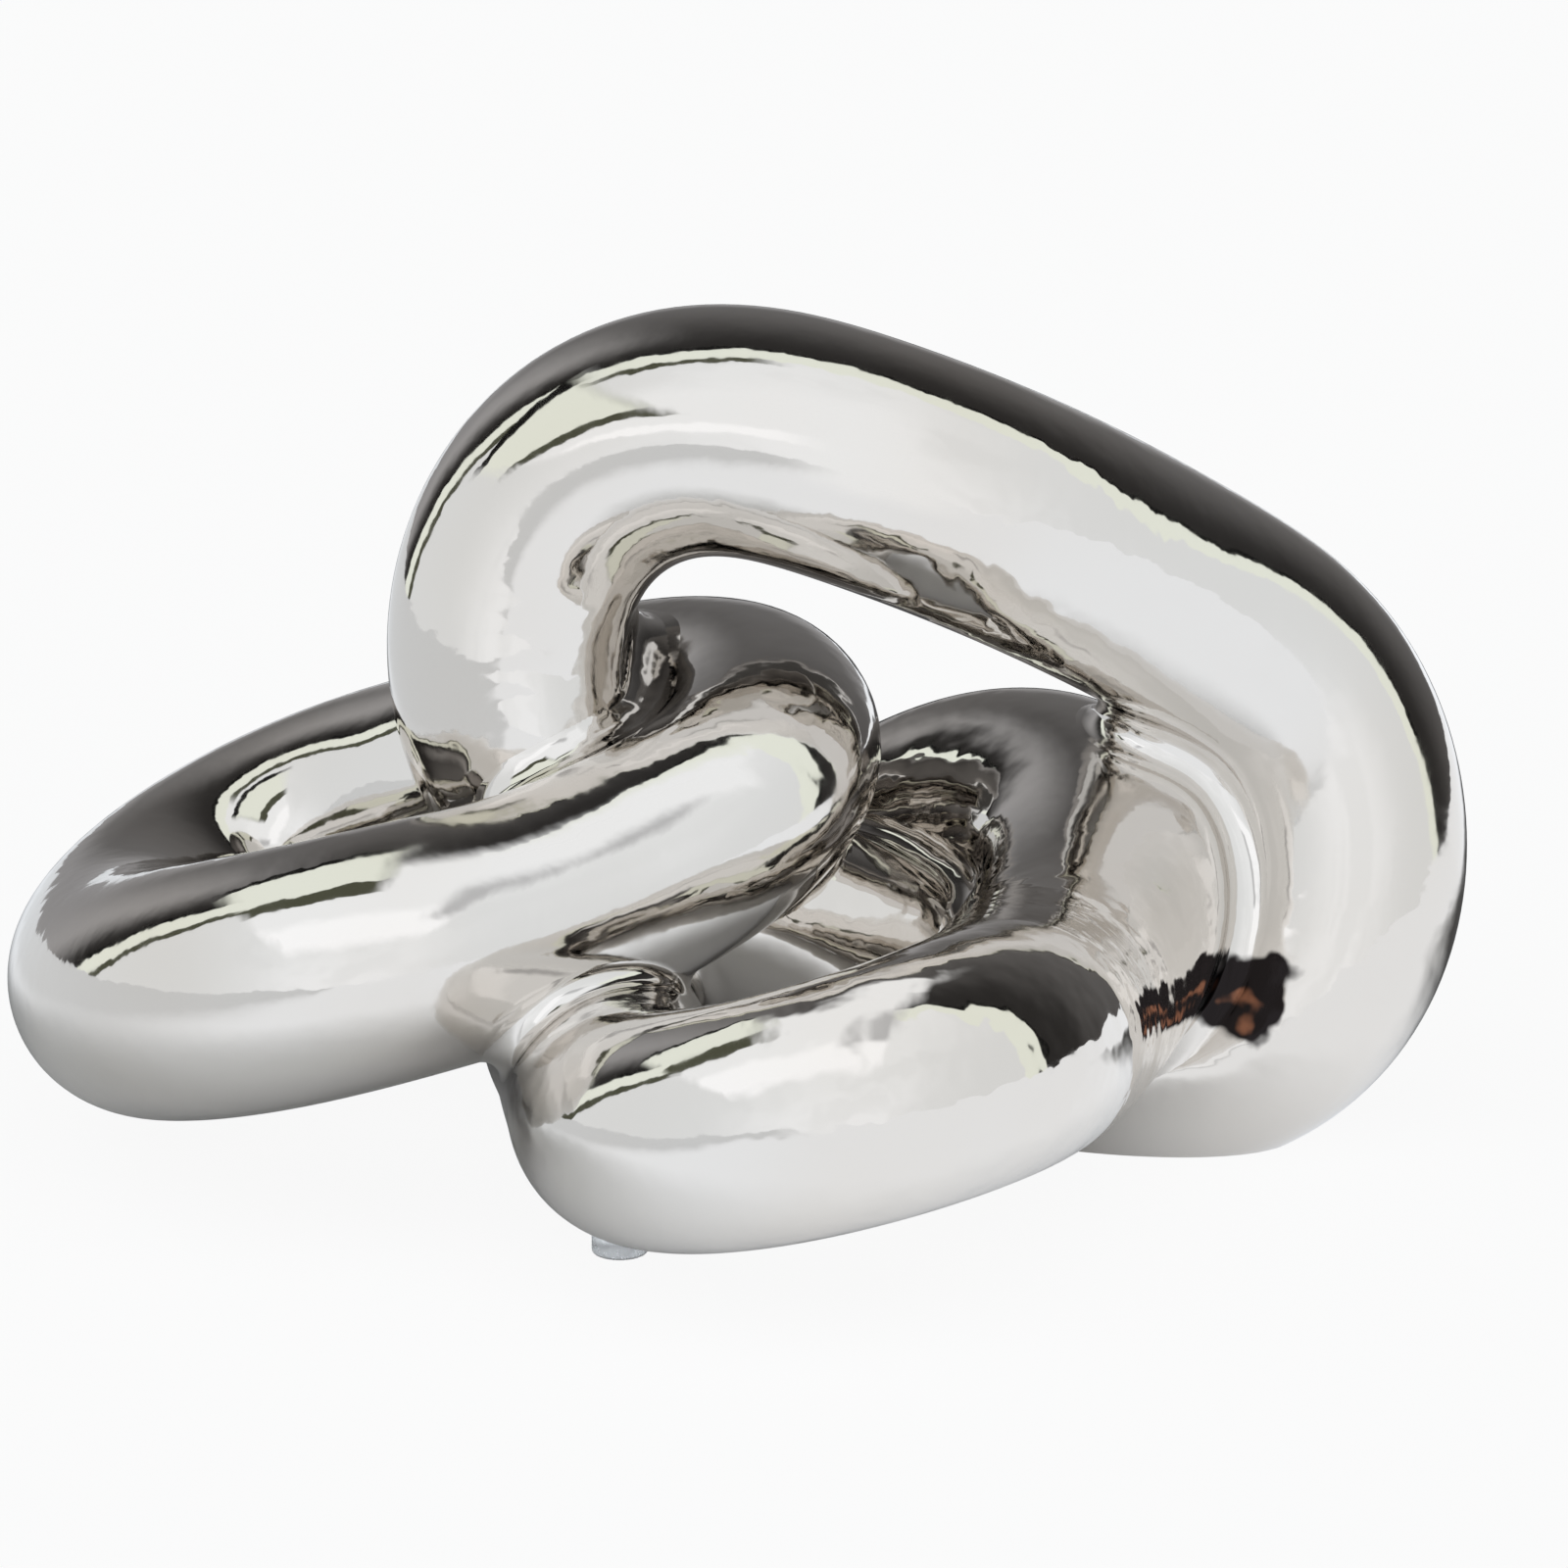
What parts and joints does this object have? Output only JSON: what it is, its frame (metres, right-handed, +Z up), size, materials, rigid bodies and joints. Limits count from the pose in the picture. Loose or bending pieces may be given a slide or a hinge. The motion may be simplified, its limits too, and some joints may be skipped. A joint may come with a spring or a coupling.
{
  "type": "chain link sculpture",
  "caption": "Free-standing decorative sculpture of chunky interlocked oval chain links with a mirror-bright metallic glaze, one link standing on a flat-cut foot.",
  "frame": {"origin": "on the table under the middle of the sculpture's outline, seen from above", "axes": "+Z up; +X to the right along the sculpture's width as pictured; +Y away from the camera"},
  "size_m": [0.268, 0.194, 0.1574],
  "materials": {
    "silver_glaze": "mirror-bright silver glaze fired on slip-cast ceramic",
    "clear_pad": "soft greyish clear bumper"
  },
  "bodies": {
    "root": {"left_link": "silver_glaze", "front_link": "silver_glaze", "top_link": "silver_glaze", "left_top_bead": "silver_glaze", "front_top_bead": "silver_glaze", "left_front_bead": "silver_glaze", "front_pad": "clear_pad", "back_pad": "clear_pad"}
  },
  "joints": []
}
